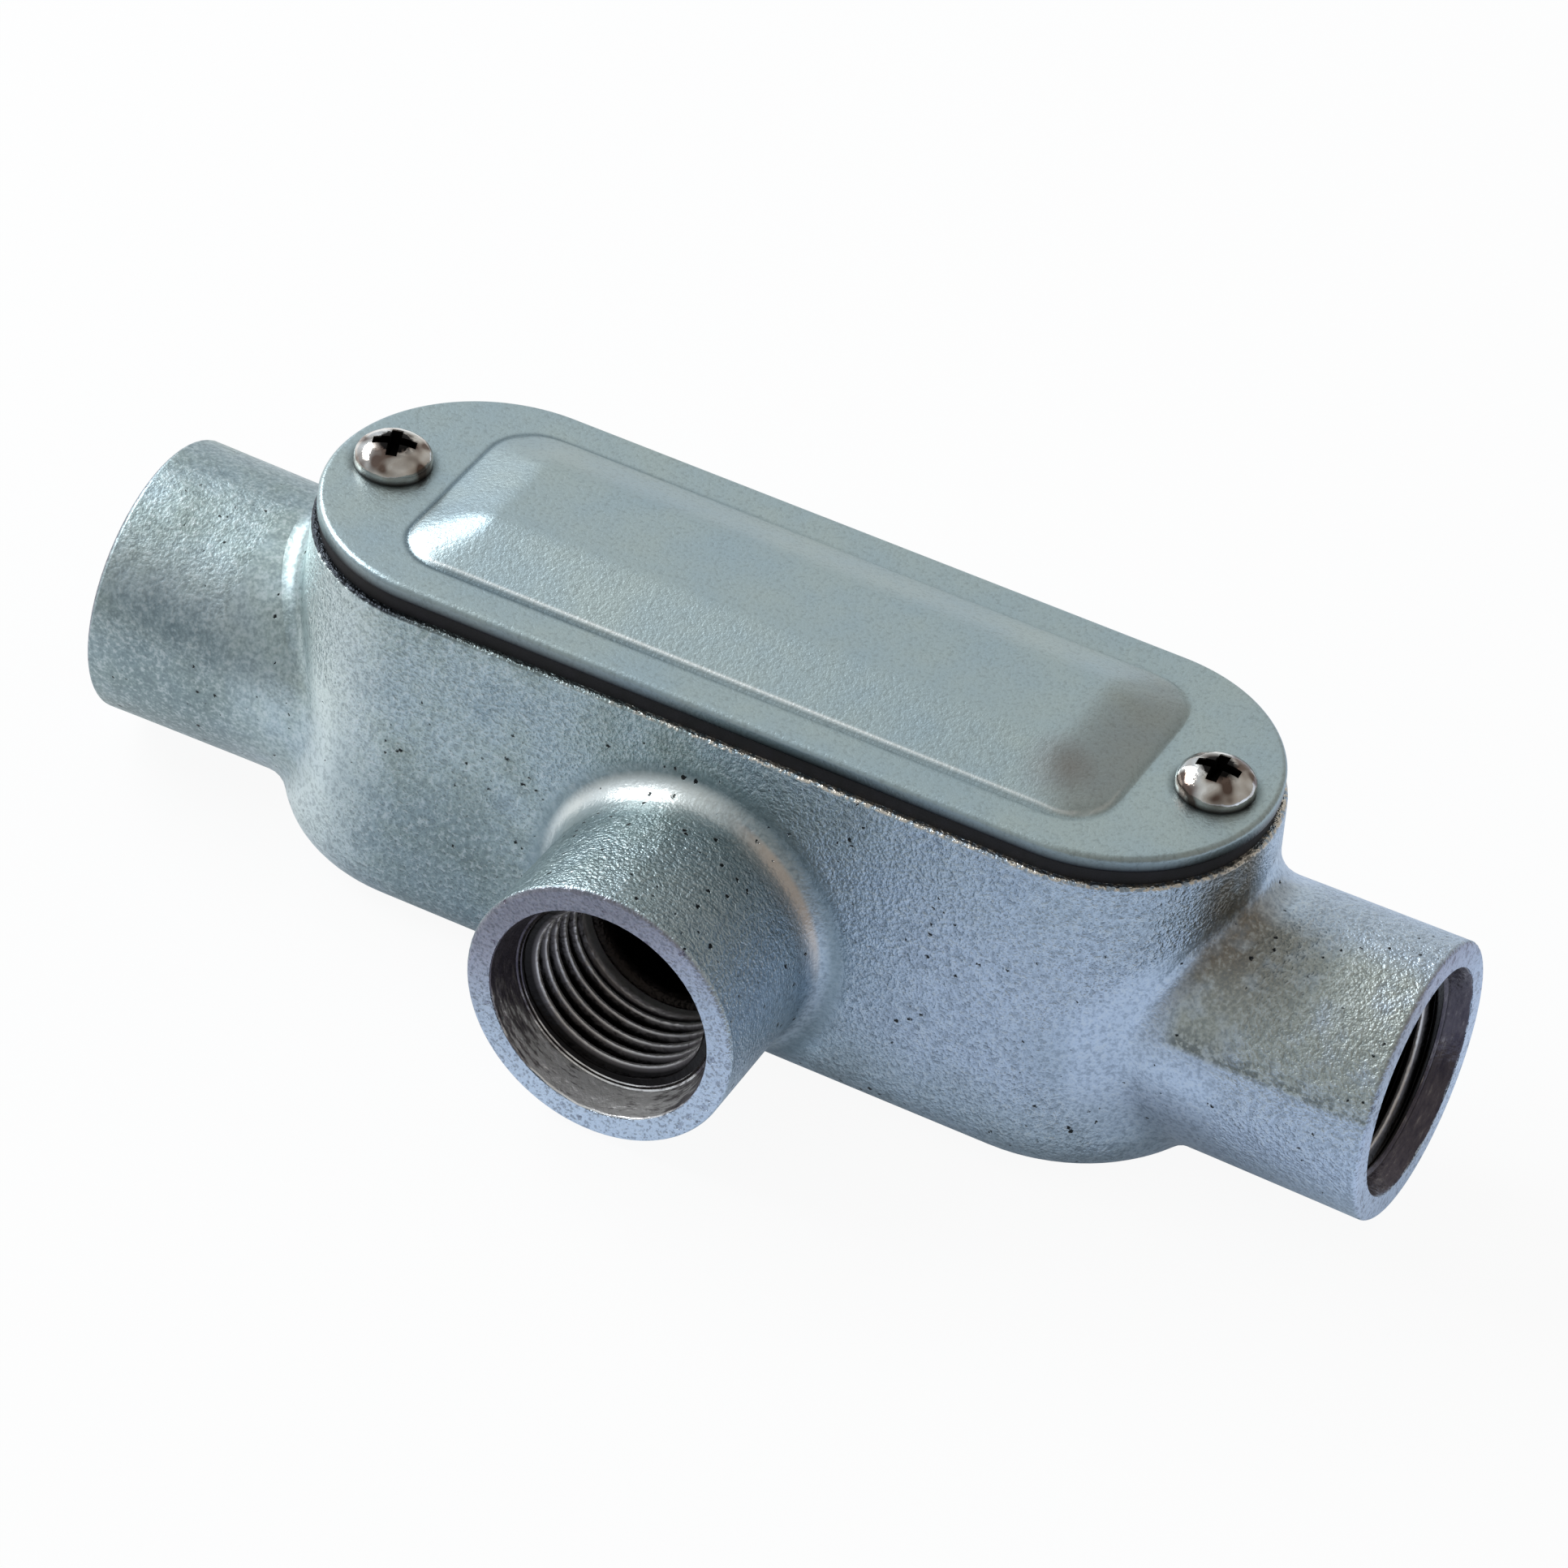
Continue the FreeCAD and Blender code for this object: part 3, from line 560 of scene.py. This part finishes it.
def cover_shell():
    """The whole closed sheet as welded points and faces.

    Above and below, a grid of x and y spans the middle, its outer rows stretched to the
    outline. Each end is a fan of rays from its screw hole to the grid's last column and to the
    round end. A profile carried round the outline makes the edge, and rings make the holes.
    """
    half_x = joined(GRID_X)
    half_y = joined(GRID_Y)
    outer = np.linspace(0, 1, OUTER_ROWS)[1:]
    xs = np.concatenate([-half_x[:0:-1], half_x])
    inner_y = np.concatenate([-half_y[:0:-1], half_y])
    reach = outline_reach(xs)[:, None]
    stretched = half_y[-1] + (reach - half_y[-1]) * outer
    inner = np.broadcast_to(inner_y, (len(xs), len(inner_y)))
    ys = np.concatenate([-stretched[:, ::-1], inner, stretched], axis=1)
    middle = np.stack([np.broadcast_to(xs[:, None], ys.shape), ys], axis=-1)

    last = middle[-1]
    start = math.atan2(last[-1, 1], half_x[-1] - COVER_END)
    phi = np.linspace(start, -start, ARC_STEPS)
    arc = (COVER_END, 0) + (COVER_R - EDGE_ROUND) * np.stack([np.cos(phi), np.sin(phi)], axis=-1)
    round_end = np.concatenate([last, arc[1:-1]])
    hole = np.array([SCREW_X, 0])
    ray = round_end - hole
    rim = hole + HOLE_R * ray / np.linalg.norm(ray, axis=1, keepdims=True)
    share = np.linspace(0, 1, FAN_RINGS)[:, None, None]
    fan = rim + (round_end - rim) * share
    fan = np.concatenate([fan, fan[:, :1]], axis=1)
    mirrored = (fan * (-1, 1))[:, ::-1]

    near = middle[::-1, 0]
    far = middle[:, -1]
    loop = np.concatenate([arc, near[1:-1], (arc * (-1, 1))[::-1], far[1:]])
    core = np.stack([np.clip(loop[:, 0], -COVER_END, COVER_END), np.zeros(len(loop))], axis=-1)
    out = (loop - core) / np.linalg.norm(loop - core, axis=1, keepdims=True)
    bend = np.linspace(0, np.pi / 2, EDGE_STEPS)
    push = np.concatenate([np.sin(bend), np.cos(bend)]) * EDGE_ROUND
    drop = np.concatenate([
        (1 - np.cos(bend)) * EDGE_ROUND, SHEET - LOWER_BREAK + np.sin(bend) * LOWER_BREAK])
    band = loop[None] + out[None] * push[:, None, None]
    levels = np.broadcast_to(FLANGE_Z - drop[:, None, None], (*band.shape[:2], 1))
    band = np.concatenate([band, levels], axis=-1)

    patches = [(band, True)]
    for flat, flip in ((middle, False), (fan, True), (mirrored, True)):
        height = FLANGE_Z + panel_height(flat[..., 0], flat[..., 1])
        patches.append((np.concatenate([flat, height[..., None]], axis=-1), flip))
        patches.append((np.concatenate([flat, height[..., None] - SHEET], axis=-1), not flip))
    for ends in (fan, mirrored):
        ring = np.stack([ends[0], ends[0]])
        level = np.array([FLANGE_Z, FLANGE_Z - SHEET])[:, None, None]
        levels = np.broadcast_to(level, (*ring.shape[:2], 1))
        patches.append((np.concatenate([ring, levels], axis=-1), False))

    points, faces = [], []
    count = 0
    for patch, flip in patches:
        rows, columns = patch.shape[:2]
        i, j = np.meshgrid(np.arange(rows - 1), np.arange(columns - 1), indexing="ij")
        corner = count + i * columns + j
        quad = np.stack([corner, corner + columns, corner + columns + 1, corner + 1], axis=-1)
        quad = quad.reshape(-1, 4)
        faces.append(quad[:, ::-1] if flip else quad)
        points.append(patch.reshape(-1, 3))
        count += rows * columns
    points, faces = np.concatenate(points), np.concatenate(faces)
    keys = np.round(points / WELD).astype(np.int64)
    _, first, welded = np.unique(keys, axis=0, return_index=True, return_inverse=True)
    return points[first], welded.reshape(-1)[faces]


points, faces = cover_shell()
pressed_cover = new_piece("pressed_cover", points, faces)
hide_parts("cover")
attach(pressed_cover, "root")

# Zinc-plated sheet, matt from its chromate dip: a fine sandy grain, drawn coarser than it is so that it
# shows. The panel's right slope has a painted brown reflection and a dark painted reflection, and there is
# painted shade round the screws. A dark line lies along the panel's foot, its near side has a painted
# highlight, and the punched edge is dark.
CLOUD = 11.0 * MM
ORANGE_PEEL = 2.4 * MM
SHEET_GRAIN = 0.42 * MM
REFLECTION_SMUDGE_AT = (33.2 * MM, -7.6 * MM, 42.0 * MM)
plate, tree, shader, place = new_material("zinc_plated_sheet")
axes = add(tree, "SeparateXYZ", {"Vector": place}).outputs
cloud = add(tree, "TexNoise", {"Vector": place, "Scale": 1 / CLOUD, "Detail": 3.0, "Roughness": 0.6})
sand = add(tree, "TexNoise", {"Vector": place, "Scale": 1 / SHEET_GRAIN, "Detail": 2.0, "Roughness": 0.65})
orange = add(tree, "TexNoise", {"Vector": place, "Scale": 1 / ORANGE_PEEL, "Detail": 2.0})
cast = add(tree, "ValToRGB", {"Fac": cloud}, stops=[(0.35, linear("#a6b9c1")), (0.65, linear("#adbcbd"))])
specks = add(tree, "MapRange", {"Value": sand, "From Min": 0.50, "From Max": 0.28, "To Max": 0.4})
sandy = add(tree, "Mix", {"Factor": specks, "A": cast, "B": linear("#7d888a")}, data_type="RGBA")
# Painted reflection: brown on the panel's right slope, with a darker smudge.
on_right_slope = add(tree, "MapRange", {
    "Value": axes["X"], "From Min": 29.0 * MM, "From Max": 35.0 * MM, "To Max": 0.22})
above_foot = add(tree, "MapRange", {
    "Value": axes["Z"], "From Min": FLANGE_Z + 0.1 * MM, "From Max": FLANGE_Z + 0.8 * MM})
brown_reflection = add(tree, "Math", {0: on_right_slope, 1: above_foot}, operation="MULTIPLY")
from_reflection_smudge = add(tree, "VectorMath", {0: place, 1: REFLECTION_SMUDGE_AT}, operation="DISTANCE")
reflection_smudge_reach = add(tree, "Math", {0: cloud, 1: 3.0 * MM, 2: from_reflection_smudge}, operation="MULTIPLY_ADD")
smudge_reflection = add(tree, "MapRange", {
    "Value": reflection_smudge_reach, "From Min": 7.0 * MM, "From Max": 2.0 * MM, "To Max": 0.5})
brown_reflection = add(tree, "Math", {0: brown_reflection, 1: smudge_reflection}, operation="MAXIMUM")
sandy = add(tree, "Mix", {"Factor": brown_reflection, "A": sandy, "B": linear("#8c7b70")}, data_type="RGBA")
# A dark line just outside the panel's foot, strongest at the left end.
foot_dark = add(tree, "Attribute", {}, attribute_name="foot_dark_line").outputs["Fac"]
foot_darkened = add(tree, "Mix", {"Factor": foot_dark, "A": sandy, "B": linear("#53656f")}, data_type="RGBA")
# Painted highlight just inside the panel's near foot.
highlight_fac = add(tree, "Attribute", {}, attribute_name="foot_highlight").outputs["Fac"]
wear_and_highlight = add(tree, "Mix", {"Factor": highlight_fac, "A": foot_darkened, "B": linear("#f8fcfc")}, data_type="RGBA")
edge = add(tree, "Attribute", {}, attribute_name="edge").outputs["Fac"]
punched = add(tree, "Mix", {"Factor": edge, "A": wear_and_highlight, "B": linear("#17161b")}, data_type="RGBA")
# Painted shade on the flange round each screw head.
from_middle = add(tree, "Math", {0: axes["X"]}, operation="ABSOLUTE")
to_screw = add(tree, "Math", {0: from_middle, 1: SCREW_X}, operation="SUBTRACT")
by_screw = add(tree, "CombineXYZ", {"X": to_screw, "Y": axes["Y"]})
from_screw = add(tree, "VectorMath", {0: by_screw}, operation="LENGTH")
screw_shade = add(tree, "MapRange", {
    "Value": from_screw, "From Min": HEAD_R + 1.1 * MM, "From Max": HEAD_R - 0.2 * MM, "To Max": 0.75},
    interpolation_type="SMOOTHSTEP")
painted_shade = add(tree, "Mix", {"Factor": screw_shade, "A": punched, "B": linear("#3c4646")}, data_type="RGBA")
orange_bump = add(tree, "Bump", {"Height": orange, "Distance": 0.022 * MM})
sand_bump = add(tree, "Bump", {"Height": sand, "Distance": 0.045 * MM, "Normal": orange_bump})
feed(tree, shader, {"Base Color": painted_shade, "Metallic": 1.0, "Roughness": 0.36, "Normal": sand_bump})
give(pressed_cover, plate)

# A dark line and a painted highlight follow the panel's foot as two soft lines, one just outside it and
# one just inside, by how far each point is from it. The edge darkens from a little below the flange.
FOOT_CORNER = 5.0 * MM
DARK_LINE_AT = -0.10 * MM
DARK_LINE_WIDTH = 0.30 * MM
DARK_LINE_ROUND = 0.07
DARK_LINE_LEFT = 0.8
DARK_LINE_NEAR = 0.35
DARK_LINE_MOST = 0.85
HIGHLIGHT_AT = 0.45 * MM
HIGHLIGHT_WIDTH = 0.13 * MM
HIGHLIGHT_SHARE = 0.8
EDGE_FROM = 0.35 * MM
EDGE_FADE = 0.75 * MM
beyond = np.abs(points[:, :2]) - (PANEL_HALF_X - FOOT_CORNER, PANEL_HALF_Y - FOOT_CORNER)
from_foot = FOOT_CORNER - np.linalg.norm(np.maximum(beyond, 0), axis=1) - np.minimum(beyond.max(axis=1), 0)
foot_line = np.exp(-(((from_foot - DARK_LINE_AT) / DARK_LINE_WIDTH) ** 2))
highlight_line = HIGHLIGHT_SHARE * np.exp(-(((from_foot - HIGHLIGHT_AT) / HIGHLIGHT_WIDTH) ** 2))
turn = np.arctan2(points[:, 1] / PANEL_HALF_Y, points[:, 0] / PANEL_HALF_X)
to_left = np.clip(-np.cos(turn), 0, 1)
to_near = np.clip(-np.sin(turn) * 1.6 - 0.5, 0, 1)
on_top = points[:, 2] > FLANGE_Z - HAIR / 2
darkness_share = np.clip(DARK_LINE_ROUND + DARK_LINE_LEFT * to_left + DARK_LINE_NEAR * to_near, 0, DARK_LINE_MOST)
store(pressed_cover, "foot_dark_line", foot_line * on_top * darkness_share)
store(pressed_cover, "foot_highlight", highlight_line * on_top * to_near)
from_core = np.hypot(points[:, 0] - np.clip(points[:, 0], -COVER_END, COVER_END), points[:, 1])
down_edge = np.clip((FLANGE_Z - points[:, 2] - EDGE_FROM) / EDGE_FADE, 0, 1)
store(pressed_cover, "edge", np.where(from_core > COVER_R - EDGE_ROUND + HAIR, down_edge, 0))

# Screws. Pan heads with a cross recess, bright zinc plated. Their polish is slightly wavy from cold
# heading, and the waves carry painted brown and pale reflections. Old grease and painted shade blacken the
# recess and its chipped edges.
HEAD_TOP = right_high.z
HEAD_SEAT = FLANGE_Z
HEAD_RIM = 0.75 * MM
DOME = HEAD_TOP - HEAD_SEAT - HEAD_RIM
RECESS_BLACK_R = 2.55 * MM
WORN_R = 2.45 * MM
SMEAR = 0.9 * MM
WAVE = 2.3 * MM
bright, tree, shader, place = new_material("bright_zinc_screw")
offset = add(tree, "SeparateXYZ", {"Vector": place}).outputs
from_middle = add(tree, "Math", {0: offset["X"]}, operation="ABSOLUTE")
to_screw = add(tree, "Math", {0: from_middle, 1: SCREW_X}, operation="SUBTRACT")
by_screw = add(tree, "CombineXYZ", {"X": to_screw, "Y": offset["Y"]})
from_axis = add(tree, "VectorMath", {0: by_screw}, operation="LENGTH")

# How far a point is sunk below the dome, an ellipse over the head's rim, shows the recess.
share_out = add(tree, "Math", {0: from_axis, 1: HEAD_R}, operation="DIVIDE")
squared = add(tree, "Math", {0: share_out, 1: 2.0}, operation="POWER")
left_over = add(tree, "Math", {0: 1.0, 1: squared}, operation="SUBTRACT", use_clamp=True)
arched = add(tree, "Math", {0: left_over, 1: 0.5}, operation="POWER")
dome_z = add(tree, "Math", {0: arched, 1: DOME, 2: HEAD_SEAT + HEAD_RIM}, operation="MULTIPLY_ADD")
sunk = add(tree, "Math", {0: dome_z, 1: offset["Z"]}, operation="SUBTRACT")

# Grease smears round the recess and fills its worn middle. The recess itself is black with grease and
# painted shade, and the foot of the head is painted dark as shade.
wear = add(tree, "TexNoise", {"Vector": place, "Scale": 1 / SMEAR, "Detail": 3.0})
wave = add(tree, "TexNoise", {"Vector": place, "Scale": 1 / WAVE, "Detail": 1.0})
in_recess = add(tree, "MapRange", {"Value": sunk, "From Min": 0.03 * MM, "From Max": 0.12 * MM})
smear = add(tree, "MapRange", {"Value": wear, "From Min": 0.45, "From Max": 0.52})
by_recess = add(tree, "MapRange", {
    "Value": from_axis, "From Min": RECESS_BLACK_R, "From Max": RECESS_BLACK_R * 0.55})
smeared = add(tree, "Math", {0: smear, 1: by_recess}, operation="MULTIPLY")
near_axis = add(tree, "Math", {0: from_axis, 1: RECESS_BLACK_R}, operation="LESS_THAN")
recessed = add(tree, "Math", {0: in_recess, 1: near_axis}, operation="MULTIPLY")
worn_radius = add(tree, "Math", {0: wear, 1: 1.4 * MM, 2: from_axis}, operation="MULTIPLY_ADD")
worn_middle = add(tree, "MapRange", {
    "Value": worn_radius, "From Min": WORN_R, "From Max": WORN_R - 0.2 * MM})
# Painted shade at the foot of the head, where it meets the cover.
foot_shade = add(tree, "MapRange", {
    "Value": offset["Z"], "From Min": HEAD_SEAT + 0.60 * MM, "From Max": HEAD_SEAT + 0.10 * MM,
    "To Max": 0.85})
grease_and_shade = add(tree, "Math", {0: smeared, 1: recessed}, operation="MAXIMUM")
grease_and_shade = add(tree, "Math", {0: grease_and_shade, 1: worn_middle}, operation="MAXIMUM")
grease_and_shade = add(tree, "Math", {0: grease_and_shade, 1: foot_shade}, operation="MAXIMUM")
# Painted reflections: brown and pale patches that follow the head's waves.
painted_reflections = add(tree, "ValToRGB", {"Fac": wave}, stops=[
    (0.38, linear("#6f5f57")), (0.50, linear("#c9c4be")), (0.62, linear("#e8e8e6"))])
greased_and_shaded = add(tree, "Mix", {"Factor": grease_and_shade, "A": painted_reflections, "B": linear("#12100f")}, data_type="RGBA")
shine = add(tree, "MapRange", {"Value": grease_and_shade, "To Min": 0.10, "To Max": 0.6})
wave_bump = add(tree, "Bump", {"Height": wave, "Distance": 0.30 * MM})
wear_bump = add(tree, "Bump", {"Height": wear, "Distance": 0.05 * MM, "Normal": wave_bump})
feed(tree, shader, {"Base Color": greased_and_shaded, "Metallic": 1.0, "Roughness": shine, "Normal": wear_bump})
for name in ("left_screw", "right_screw"):
    give(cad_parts[name], bright)

# Floor. A plain pale sweep that shows white to the eye and still takes the object's own shadow.
# In reflections it is a glow, white at the left and bluish at the right, painted darker as shade in front
# of the object and close round its right part.
FLOOR_HALF = 1.2
DIMMED_HALF = 44.0 * MM
floor = new_piece("floor", np.array([(-1, -1, 0), (1, -1, 0), (1, 1, 0), (-1, 1, 0)]) * FLOOR_HALF,
                  np.array([(0, 1, 2, 3)]))
floor_paint = bpy.data.materials.new("pale_floor")
floor_paint.use_nodes = True
tree = floor_paint.node_tree
tree.nodes.clear()
ray = add(tree, "LightPath", {}).outputs
lit = add(tree, "BsdfDiffuse", {"Color": linear("#eaeef2")})
flat_place = add(tree, "TexCoord", {}).outputs["Object"]
spot = add(tree, "SeparateXYZ", {"Vector": flat_place}).outputs
rightward = add(tree, "MapRange", {"Value": spot["X"], "From Min": -90 * MM, "From Max": 10 * MM})
sheen = add(tree, "Mix", {
    "Factor": rightward, "A": (1.0, 1.0, 1.0, 1), "B": (0.78, 0.86, 1.0, 1)}, data_type="RGBA")
seen_white = add(tree, "Mix", {
    "Factor": ray["Is Glossy Ray"], "A": (1, 1, 1, 1), "B": sheen}, data_type="RGBA")
forward = add(tree, "MapRange", {
    "Value": spot["Y"], "From Min": -40 * MM, "From Max": -110 * MM, "To Min": 1.0, "To Max": 0.5})
held = add(tree, "Clamp", {"Value": spot["X"], "Min": -DIMMED_HALF, "Max": DIMMED_HALF})
core = add(tree, "CombineXYZ", {"X": held})
from_core = add(tree, "VectorMath", {0: flat_place, 1: core}, operation="DISTANCE")
beside = add(tree, "MapRange", {
    "Value": from_core, "From Min": 16 * MM, "From Max": 38 * MM, "To Min": 0.35})
off_left = add(tree, "MapRange", {"Value": spot["X"], "From Min": -70 * MM, "From Max": -10 * MM})
beside = add(tree, "Mix", {"Factor": off_left, "A": 1.0, "B": beside}, data_type="FLOAT")
shaded = add(tree, "Math", {0: forward, 1: beside}, operation="MULTIPLY")
dimmed = add(tree, "Mix", {"Factor": ray["Is Glossy Ray"], "A": 1.0, "B": shaded}, data_type="FLOAT")
glow = add(tree, "Emission", {"Color": seen_white, "Strength": dimmed})
direct = add(tree, "Math", {0: ray["Is Camera Ray"], 1: 0.93}, operation="MULTIPLY")
reflected = add(tree, "MapRange", {"Value": rightward, "To Min": 1.0, "To Max": 0.78})
share = add(tree, "Math", {0: ray["Is Glossy Ray"], 1: reflected, 2: direct}, operation="MULTIPLY_ADD")
mixed = add(tree, "MixShader", {0: share, 1: lit, 2: glow})
add(tree, "OutputMaterial", {"Surface": mixed})
give(floor, floor_paint)

# Light. A soft studio: pale sweep behind and to the left, dim brown room to the right and
# behind the camera, and one wide window high on the left.
world = bpy.data.worlds.new("studio")
bpy.context.scene.world = world
world.use_nodes = True
tree = world.node_tree
tree.nodes.clear()
ray = add(tree, "LightPath", {}).outputs
sky = add(tree, "TexCoord", {}).outputs["Generated"]
sides = add(tree, "SeparateXYZ", {"Vector": sky}).outputs
leftward = add(tree, "MapRange", {"Value": sides["X"], "From Min": 1.0, "From Max": -1.0})
level = add(tree, "ValToRGB", {"Fac": leftward}, stops=[
    (0.0, (0.34, 0.31, 0.28, 1)), (0.25, (0.44, 0.42, 0.39, 1)), (0.43, (0.51, 0.49, 0.46, 1)),
    (0.65, (0.77, 0.79, 0.78, 1)), (0.8, (0.60, 0.64, 0.68, 1)), (1.0, (0.7, 0.74, 0.78, 1))])
near = add(tree, "MapRange", {
    "Value": sides["Y"], "From Min": -0.30, "From Max": -0.85, "To Min": 1.0, "To Max": 0.70},
    interpolation_type="SMOOTHSTEP")
overhead = add(tree, "MapRange", {
    "Value": sides["Z"], "From Min": 0.72, "From Max": 0.92, "To Min": 1.0, "To Max": 0.8})
strength = add(tree, "Math", {0: near, 1: overhead}, operation="MULTIPLY")
room = add(tree, "Background", {"Color": level, "Strength": strength})
white = add(tree, "Background", {"Color": (1, 1, 1, 1), "Strength": 1.0})
shown = add(tree, "MixShader", {0: ray["Is Camera Ray"], 1: room, 2: white})
add(tree, "OutputWorld", {"Surface": shown})


def soft_light(name, towards, distance, width, height, power, colour):
    """A rectangular area light at a distance in one direction, facing the hub axes."""
    lamp = bpy.data.lights.new(name, "AREA")
    lamp.shape = "RECTANGLE"
    lamp.size = width
    lamp.size_y = height
    lamp.energy = power
    lamp.color = linear(colour)[:3]
    holder = bpy.data.objects.new(name, lamp)
    direction = Vector(towards).normalized()
    holder.location = direction * distance + Vector((0, 0, AXIS_Z))
    holder.rotation_euler = direction.to_track_quat("Z", "Y").to_euler()
    bpy.context.scene.collection.objects.link(holder)


soft_light("left_window", towards=(-0.78, 0.11, 0.60), distance=1.1, width=0.92, height=0.46, power=9.0,
           colour="#ffffff")

# Camera at the photograph's angle, 0.79 m from the crossing of the hub axes.
AZIMUTH, ELEVATION, ROLL = 23.61, 38.48, 6.82
DISTANCE = 791.5 * MM
FOCAL_PIXELS = 9847.0
IMAGE = 1932.0
ORIGIN_X, ORIGIN_Y = 952.5, 1010.5
az, el, roll = (math.radians(v) for v in (AZIMUTH, ELEVATION, ROLL))
backward = Vector((math.sin(az) * math.cos(el), -math.cos(az) * math.cos(el), math.sin(el)))
level_right = Vector((0, 0, 1)).cross(backward).normalized()
level_up = backward.cross(level_right)
turned_right = math.cos(roll) * level_right + math.sin(roll) * level_up
turned_up = math.cos(roll) * level_up - math.sin(roll) * level_right
lens = bpy.data.cameras.new("camera")
lens.sensor_width = 36.0
lens.lens = FOCAL_PIXELS / IMAGE * lens.sensor_width
lens.shift_x = (IMAGE / 2 - ORIGIN_X) / IMAGE
lens.shift_y = (ORIGIN_Y - IMAGE / 2) / IMAGE
camera = bpy.data.objects.new("camera", lens)
facing = Matrix((turned_right, turned_up, backward)).transposed().to_4x4()
camera.matrix_world = Matrix.Translation(backward * DISTANCE + Vector((0, 0, AXIS_Z))) @ facing
bpy.context.scene.collection.objects.link(camera)
bpy.context.scene.camera = camera
bpy.context.scene.view_settings.view_transform = "Standard"
